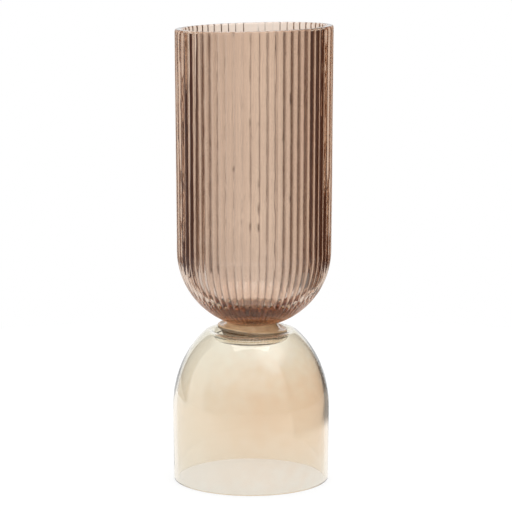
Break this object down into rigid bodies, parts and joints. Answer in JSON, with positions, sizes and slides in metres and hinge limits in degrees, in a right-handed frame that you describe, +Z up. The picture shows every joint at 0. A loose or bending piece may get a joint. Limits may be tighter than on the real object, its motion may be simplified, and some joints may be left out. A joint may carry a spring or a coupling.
{
  "type": "vase",
  "caption": "Tall hand blown glass vase: ribbed smoked cup joined by a wrapped amber glass collar to a clear pale dome foot.",
  "frame": {"origin": "centre of the footprint on the table, at the foot's rim", "axes": "+Z up along the vase, +X to the right as seen from the front, the trail's cut end faces -Y"},
  "size_m": [0.1021, 0.1004, 0.2913],
  "materials": {
    "smoked_glass": "clear smoked brown, ribbed outside",
    "amber_glass": "clear amber, hot worked",
    "champagne_glass": "clear pale amber with a faint lustre"
  },
  "bodies": {
    "root": {"ribbed_cup": "smoked_glass", "joining_bit": "amber_glass", "trail_upper": "amber_glass", "trail_lower": "amber_glass", "dome_foot": "champagne_glass"}
  },
  "joints": []
}
